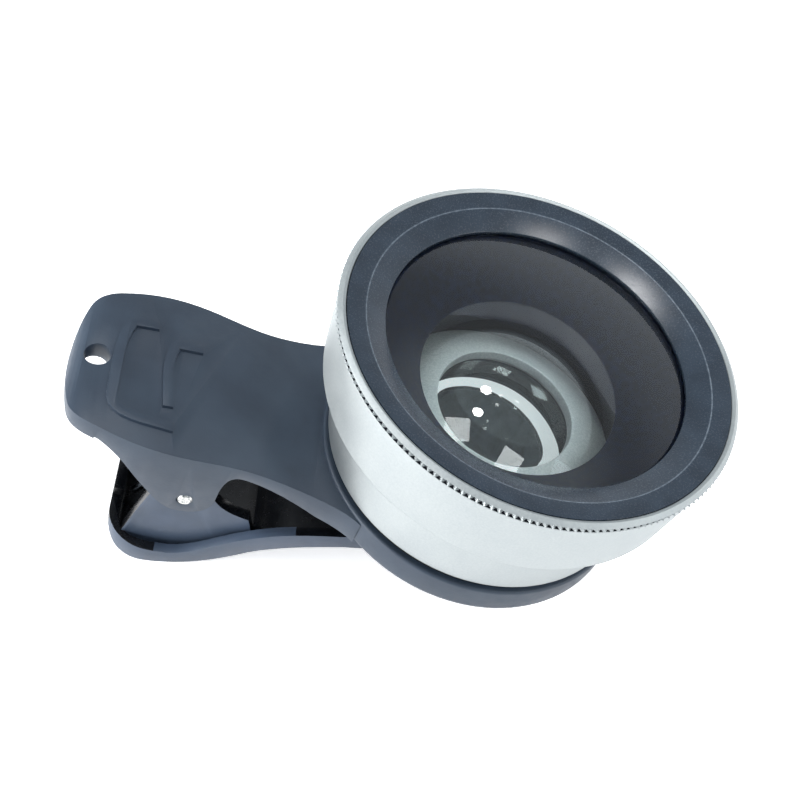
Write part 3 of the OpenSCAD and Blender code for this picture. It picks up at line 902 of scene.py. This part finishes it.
@dataclass
class MacroModule:
    """The narrower barrel, which screws into the clip, with the small lens and its ring."""

    spigot_radius: float = 18.5
    spigot_bottom: float = 1.6
    bottom: float = 5.45
    top: float = 15.9
    back_radius: float = 20.56
    front_radius: float = 21.3
    socket_radius: float = 17.55
    socket_floor: float = 12.7
    hollow_radius: float = 14.5
    lens_radius: float = 9.6
    clear_radius: float = 8.85
    ring_top: float = 10.85
    seat: float = 6.25
    back_curve: float = 40.0
    front_curve: float = 26.0

    def build(self) -> None:
        """Builds and dresses the module's pieces."""
        outline = softened(self.barrel_outline(), 0.12)
        barrel = lathed("macro_sleeve", outline, [BARREL, BORE_PAINT_AND_ROOT_SHADE], self.barrel_slot)
        finished("macro_sleeve", barrel, Body.MACRO_SLEEVE, ["macro_barrel"])
        crest = self.spigot_radius - 0.02
        length = self.bottom - self.spigot_bottom - 1.1
        ridge = thread("macro_thread", crest, self.spigot_bottom + 0.45, length, BARREL)
        finished("macro_thread", ridge, Body.MACRO_SLEEVE)
        lens = lathed("small_lens", self.lens_outline(), [SMALL_GLASS, LACQUER], self.lens_slot)
        finished("small_lens", lens, Body.MACRO_CELL, ["macro_lens"])
        ring = lathed("cone_ring", softened(self.ring_outline(), 0.1), [CONE_SILVER_PAINTED_LIGHT])
        finished("cone_ring", ring, Body.MACRO_CELL, ["macro_retaining_ring"])
        seat = flat_ring(self.clear_radius, self.lens_radius, self.seat, self.seat + 0.4)
        shim = lathed("small_lens_shim", softened(seat, 0.06), [FIBRE])
        finished("small_lens_shim", shim, Body.MACRO_CELL, ["macro_lens_washer"])

    def barrel_outline(self) -> list[Point]:
        """Gives the barrel's outline, with the spigot turned down to the thread's root."""
        root = self.spigot_radius - THREAD_DEPTH - 0.02
        cup, step = self.lens_radius + 0.05, self.ring_top - 2.6
        return [
            (self.clear_radius, self.spigot_bottom), (root, self.spigot_bottom), (root, self.bottom),
            (self.back_radius - 0.2, self.bottom), (self.back_radius, self.bottom + 0.2),
            (self.front_radius, self.top - 0.2), (self.front_radius - 0.2, self.top),
            (self.socket_radius, self.top), (self.socket_radius, self.socket_floor),
            (self.hollow_radius, self.socket_floor), (self.hollow_radius, step), (cup, step),
            (cup, self.seat), (self.clear_radius, self.seat),
        ]

    def barrel_slot(self, radius: float, height: float) -> int:
        """Gives the black paint's slot inside the barrel, and the aluminium's outside."""
        return 1 if radius < self.socket_radius - 0.1 and height > self.spigot_bottom + 0.05 else 0

    def lens_outline(self) -> list[Point]:
        """Gives the small lens's outline: two convex faces and a ground edge."""
        back = dome(self.back_curve, self.lens_radius)
        front = dome(self.front_curve, self.lens_radius)
        low = self.ring_top - 3.7 - back[-1][1]
        high = self.ring_top - 2.2 + front[-1][1]
        return [(r, low + fall) for r, fall in back] + [(r, high - fall) for r, fall in reversed(front)]

    def lens_slot(self, radius: float, height: float) -> int:
        """Gives the lacquer's slot on the ground edge, and the glass's elsewhere."""
        return 1 if radius > self.lens_radius - 0.01 else 0

    def ring_outline(self) -> list[Point]:
        """Gives the outline of the conical ring that holds the small lens."""
        top, rim = self.ring_top, self.hollow_radius - 0.1
        return [
            (self.clear_radius, top - 1.3), (self.lens_radius - 0.1, top - 2.1), (rim, top - 2.1),
            (rim, top - 1.2), (rim - 1.2, top - 1.1), (self.clear_radius + 0.35, top),
            (self.clear_radius, top),
        ]


def dip(curvature: float, radius: float) -> float:
    """Gives how far a spherical face falls away at a radius.

    Args:
        curvature: The face's radius of curvature, in millimetres.
        radius: The distance from the axis.

    Returns:
        The fall, in millimetres.
    """
    return curvature - math.sqrt(curvature**2 - radius**2)


def dome(curvature: float, radius: float, steps: int = 24) -> list[Point]:
    """Gives points of a spherical face, from its middle to its edge.

    Args:
        curvature: The face's radius of curvature, in millimetres.
        radius: The edge's distance from the axis.
        steps: The number of steps on the way.

    Returns:
        The distance from the axis and the fall at each point.
    """
    return [(radius * i / steps, dip(curvature, radius * i / steps)) for i in range(steps + 1)]


def flat_ring(inner: float, outer: float, bottom: float, top: float) -> list[Point]:
    """Gives the outline of a flat ring.

    Args:
        inner: Its inner radius, in millimetres.
        outer: Its outer radius.
        bottom: Height of its underside.
        top: Height of its upper side.

    Returns:
        The outline's four corners.
    """
    return [(inner, bottom), (outer, bottom), (outer, top), (inner, top)]


@dataclass
class WideModule:
    """The wider barrel with its knurled lip, the black front ring and the large front glass."""

    neck_radius: float = 16.0
    joint_radius: float = 17.5
    joint_bottom: float = 12.95
    back: float = 15.95
    back_radius: float = 24.2
    back_round: float = 0.9
    belt_radius: float = 25.15
    knurl_radius: float = 25.5
    knurl_depth: float = 0.42
    knurl_count: int = 180
    knurl_fill: float = 0.94
    knurl_low: float = 26.45
    knurl_high: float = 27.4
    lip_radius: float = 24.8
    lip_top: float = 27.9
    lip_flare: float = 0.45
    ring_radius: float = 24.3
    chamfer_radius: float = 21.9
    clear_radius: float = 19.15
    ring_seat: float = 25.45
    ring_top: float = 27.75
    glass_radius: float = 19.6
    glass_top: float = 25.4
    glass_edge: float = 22.8
    front_curve: float = 70.0
    bowl_radius: float = 11.6
    bowl_low: float = 13.95
    bowl_curve: float = 30.0

    def build(self) -> None:
        """Builds and dresses the module's pieces."""
        outline = softened(self.barrel_outline(), 0.1)
        barrel = lathed("wide_sleeve", outline, [BARREL, BORE_PAINT_AND_ROOT_SHADE], self.barrel_slot)
        finished("wide_sleeve", barrel, Body.WIDE_SLEEVE, ["wide_barrel"])
        finished("lip_knurl", self.knurl(), Body.WIDE_SLEEVE)
        crest = self.joint_radius - 0.02
        length = self.back - self.joint_bottom - 0.9
        ridge = thread("wide_thread", crest, self.joint_bottom + 0.4, length, BARREL)
        finished("wide_thread", ridge, Body.WIDE_SLEEVE)
        glass = lathed("front_glass", self.glass_outline(), [GLASS, LACQUER], self.glass_slot)
        finished("front_glass", glass, Body.WIDE_CELL, ["front_element"])
        ring = lathed("glass_ring", softened(self.ring_outline(), 0.09), [RING_BLACK])
        finished("glass_ring", ring, Body.WIDE_CELL, ["front_ring"])
        washer = frame["nodes"]["front_washer"].data
        washer.materials.clear()
        clad(washer, [FIBRE])

    def barrel_outline(self) -> list[Point]:
        """Gives the barrel's outline, with the joint turned down to the thread's root."""
        root = self.joint_radius - THREAD_DEPTH - 0.02
        bore, wall = self.glass_radius + 0.05, self.ring_radius + 0.05
        seat = self.glass_edge - 0.35
        slope = (self.glass_edge - self.bowl_low) / (self.glass_radius - self.bowl_radius)
        centre = (self.back_radius - self.back_round, self.back + self.back_round)
        quarter = [math.radians(-90 + 90 * i / 6) for i in range(7)]
        corner = [
            (centre[0] + self.back_round * math.cos(a), centre[1] + self.back_round * math.sin(a))
            for a in quarter
        ]
        groove = self.knurl_radius - self.knurl_depth - 0.15
        funnel = self.neck_radius + 1.4
        low = seat - (bore - funnel) * slope
        return [
            (self.neck_radius, self.joint_bottom), (root, self.joint_bottom), (root, self.back), *corner,
            (self.belt_radius, self.knurl_low), (groove, self.knurl_low), (groove, self.knurl_high),
            (self.knurl_radius - 0.1, self.knurl_high), (self.lip_radius, self.lip_top),
            (wall + self.lip_flare, self.lip_top), (wall, self.ring_top - 0.1), (wall, self.ring_seat),
            (bore, self.ring_seat), (bore, seat), (funnel, low), (self.neck_radius, low - 1.2),
        ]

    def barrel_slot(self, radius: float, height: float) -> int:
        """Gives the black paint's slot inside the barrel, and the same black as painted shade in the
        knurl's root.
        """
        inside = radius < self.glass_radius + 0.3 and height > self.joint_bottom + 0.05
        bore = inside and not (radius > self.neck_radius + 0.5 and height < self.back + 0.5)
        lip = self.ring_radius + self.lip_flare + 0.1
        band = self.knurl_low < height < self.knurl_high
        # The knurl's root takes the black as painted shade between the diamonds.
        root = band and lip < radius < self.knurl_radius - self.knurl_depth
        return 1 if bore or root else 0

    def knurl(self) -> Mesh:
        """Grows the lip's knurl: a row of small diamonds pressed into the rim."""
        band = self.knurl_high - self.knurl_low
        root = self.knurl_radius - self.knurl_depth - 0.1
        growth = Growth("lip_knurl", {
            "Count": self.knurl_count,
            "Root Radius": root,
            "Height": (self.knurl_low + self.knurl_high) / 2,
            "Half Width": self.knurl_fill * math.pi * root / self.knurl_count,
            "Half Band": self.knurl_fill * band / 2,
            "Depth": self.knurl_radius - root - 0.01,
            "Finish": BARREL.material(),
        })
        tree, size = growth.tree, growth.size
        circle = {"Vertices": size["Count"], "Radius": size["Root Radius"]}
        places = add(tree, "GeometryNodeMeshCircle", circle)
        peak = {"Vertices": 4, "Radius Top": 0.16, "Radius Bottom": 1.0, "Depth": 1.0}
        diamond = add(tree, "GeometryNodeMeshCone", peak)
        where = add(tree, "GeometryNodeInputPosition")
        outward = add(tree, "FunctionNodeAlignRotationToVector", {"Vector": where.outputs[0]}, axis="Z")
        upward = {"Rotation": outward.outputs[0], "Vector": (0.0, 0.0, 1.0)}
        turned = add(tree, "FunctionNodeAlignRotationToVector", upward, axis="X", pivot_axis="Z")
        extent = {"X": size["Half Band"], "Y": size["Half Width"], "Z": size["Depth"]}
        scale = add(tree, "ShaderNodeCombineXYZ", extent)
        row = {
            "Points": places.outputs[0],
            "Instance": diamond.outputs["Mesh"],
            "Rotation": turned.outputs[0],
            "Scale": scale.outputs[0],
        }
        pressed = add(tree, "GeometryNodeInstanceOnPoints", row)
        lift = add(tree, "ShaderNodeCombineXYZ", {"Z": size["Height"]})
        raised = {"Geometry": pressed.outputs[0], "Translation": lift.outputs[0]}
        growth.ended(add(tree, "GeometryNodeTransform", raised).outputs[0])
        return shaded(growth.grow(), 20.0)

    def glass_outline(self) -> list[Point]:
        """Gives the front glass's outline: a hollow back, a coned edge and a domed front."""
        bowl = dome(self.bowl_curve, self.bowl_radius, 32)
        front = dome(self.front_curve, self.glass_radius, 32)
        crown, high = self.bowl_low + bowl[-1][1], self.glass_top + front[-1][1]
        under = [(r, crown - fall) for r, fall in bowl]
        over = [(r, high - fall) for r, fall in reversed(front)]
        return [*under, (self.glass_radius, self.glass_edge), *over]

    def glass_slot(self, radius: float, height: float) -> int:
        """Gives the lacquer's slot on the coned and straight edge, and the glass's elsewhere."""
        return 1 if radius > self.bowl_radius and height < self.glass_top else 0

    def ring_outline(self) -> list[Point]:
        """Gives the outline of the black ring, with its broad chamfer down to the glass."""
        sill = self.ring_seat + dip(self.front_curve, self.glass_radius)
        sill += 0.05 - dip(self.front_curve, self.clear_radius)
        return [
            (self.clear_radius, sill), (self.glass_radius, self.ring_seat),
            (self.ring_radius, self.ring_seat), (self.ring_radius, self.ring_top),
            (self.chamfer_radius, self.ring_top - 0.35), (self.clear_radius, self.ring_top - 1.7),
        ]


@dataclass
class Studio:
    """The pale floor, the soft lamps and the camera."""

    floor_size: float = 4.0
    lens_mm: float = 63.0
    sensor_mm: float = 36.0
    place: tuple[float, float, float] = (0.0026056, -0.1090231, 0.1594216)
    right: tuple[float, float, float] = (0.998563, 0.049945, 0.019419)
    up: tuple[float, float, float] = (-0.051192, 0.781976, 0.621203)
    back: tuple[float, float, float] = (0.015841, -0.621304, 0.783409)

    def build(self) -> None:
        """Builds the floor, world, lamps and camera."""
        self.floor()
        self.world()
        self.lamp("overhead_softbox", (0.0, 0.0, 0.62), 0.14, 1.3)
        self.lamp("high_softbox", (0.28, -0.13, 0.5), 0.12, 0.6)
        self.lamp("left_softbox", (-0.48, -0.4, 0.18), 0.5, 3.0)
        self.lamp("back_left_softbox", (-0.55, 0.0, 0.17), 0.3, 4.0)
        self.lamp("side_softbox", (0.5, -0.15, 0.25), 0.22, 0.5)
        self.lamp("round_lamp", (0.249, 0.285, 0.624), 0.028, 0.1, "DISK")
        self.lamp("round_lamp_low", (0.238, 0.216, 0.656), 0.028, 0.1, "DISK")
        self.camera()

    @staticmethod
    def seen_straight(tree: Tree) -> Socket:
        """Adds a value of 1 where a surface is seen directly, or in metal or through glass.

        Args:
            tree: The node tree.

        Returns:
            The value's socket.
        """
        path = add(tree, "ShaderNodeLightPath").outputs
        first = {0: path["Is Camera Ray"], 1: path["Is Glossy Ray"]}
        seen = add(tree, "ShaderNodeMath", first, operation="MAXIMUM")
        both = {0: seen.outputs[0], 1: path["Is Transmission Ray"]}
        return add(tree, "ShaderNodeMath", both, operation="MAXIMUM").outputs[0]

    def floor(self) -> None:
        """Builds the floor, which stays white around the object's soft shadow."""
        half = self.floor_size / 2
        mesh = bpy.data.meshes.new("studio_floor")
        corners = [(-half, -half, 0), (half, -half, 0), (half, half, 0), (-half, half, 0)]
        mesh.from_pydata(corners, [], [(0, 1, 2, 3)])
        made = bpy.data.materials.new("pale_paper")
        tree = emptied(made)
        fleck = add(tree, "ShaderNodeTexNoise", {"Scale": 900.0, "Detail": 2.0})
        whites = {0: fleck.outputs[0], 6: linear("F4F4F4"), 7: linear("FAFAFA")}
        tone = add(tree, "ShaderNodeMix", whites, data_type="RGBA")
        matt = add(tree, "ShaderNodeBsdfDiffuse", {"Color": tone.outputs[2]})
        glow = add(tree, "ShaderNodeEmission", {"Strength": 0.62})
        lit = add(tree, "ShaderNodeAddShader", {0: matt.outputs[0], 1: glow.outputs[0]})
        links = {0: self.seen_straight(tree), 1: matt.outputs[0], 2: lit.outputs[0]}
        paper = add(tree, "ShaderNodeMixShader", links)
        add(tree, "ShaderNodeOutputMaterial", {"Surface": paper.outputs[0]})
        mesh.materials.append(made)
        floor = shown("studio_floor", mesh)

    def world(self) -> None:
        """Builds the world: white to the camera, a cool room in reflections, soft light elsewhere."""
        world = bpy.data.worlds.new("studio")
        tree = emptied(world)
        fill = add(tree, "ShaderNodeBackground", {"Color": linear("D6DFEA"), "Strength": 0.45})
        ray = add(tree, "ShaderNodeTexCoord").outputs["Generated"]
        height = add(tree, "ShaderNodeSeparateXYZ", {0: ray}).outputs["Z"]
        wall = {0: height, 1: 0.3, 2: 0.62, 3: 0.95, 4: 0.6}
        fall = add(tree, "ShaderNodeMapRange", wall, interpolation_type="SMOOTHSTEP")
        cool = {"Color": linear("EEF6FC"), "Strength": fall.outputs[0]}
        room = add(tree, "ShaderNodeBackground", cool)
        links = {0: self.seen_straight(tree), 1: fill.outputs[0], 2: room.outputs[0]}
        lit = add(tree, "ShaderNodeMixShader", links)
        white = add(tree, "ShaderNodeBackground", {"Color": (1, 1, 1, 1), "Strength": 1.0})
        camera = add(tree, "ShaderNodeLightPath").outputs["Is Camera Ray"]
        sight = add(tree, "ShaderNodeMixShader", {0: camera, 1: lit.outputs[0], 2: white.outputs[0]})
        add(tree, "ShaderNodeOutputWorld", {"Surface": sight.outputs[0]})
        bpy.context.scene.world = world

    @staticmethod
    def lamp(
        name: str, place: tuple[float, float, float], size: float, power: float, shape: str = "SQUARE"
    ) -> None:
        """Hangs a softbox that faces the object.

        Args:
            name: The lamp's name.
            place: Its place, in metres.
            size: Its side, in metres.
            power: Its power, in watts.
            shape: Its outline, SQUARE or DISK.
        """
        data = bpy.data.lights.new(name, "AREA")
        data.shape, data.size, data.energy = shape, size, power
        lamp = shown(name, data)
        lamp.location = place
        aim = Vector((0, 0, 0.02)) - Vector(place)
        lamp.rotation_euler = aim.to_track_quat("-Z", "Y").to_euler()

    def camera(self) -> None:
        """Sets up the camera at the photograph's viewing angle."""
        data = bpy.data.cameras.new("camera")
        data.lens, data.sensor_width = self.lens_mm, self.sensor_mm
        data.clip_start, data.clip_end = 0.005, 10.0
        camera = shown("camera", data)
        turn = Matrix((self.right, self.up, self.back)).transposed()
        camera.matrix_world = Matrix.Translation(self.place) @ turn.to_4x4()
        bpy.context.scene.camera = camera
        bpy.context.scene.view_settings.view_transform = "Standard"


def main() -> None:
    """Builds the clip, the two lens modules and the studio."""
    logging.basicConfig(level=logging.INFO, format="%(name)s: %(message)s")
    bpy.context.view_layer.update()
    Studio().build()
    SpringClip().build()
    MacroModule().build()
    WideModule().build()


if __name__ == "__main__":
    main()
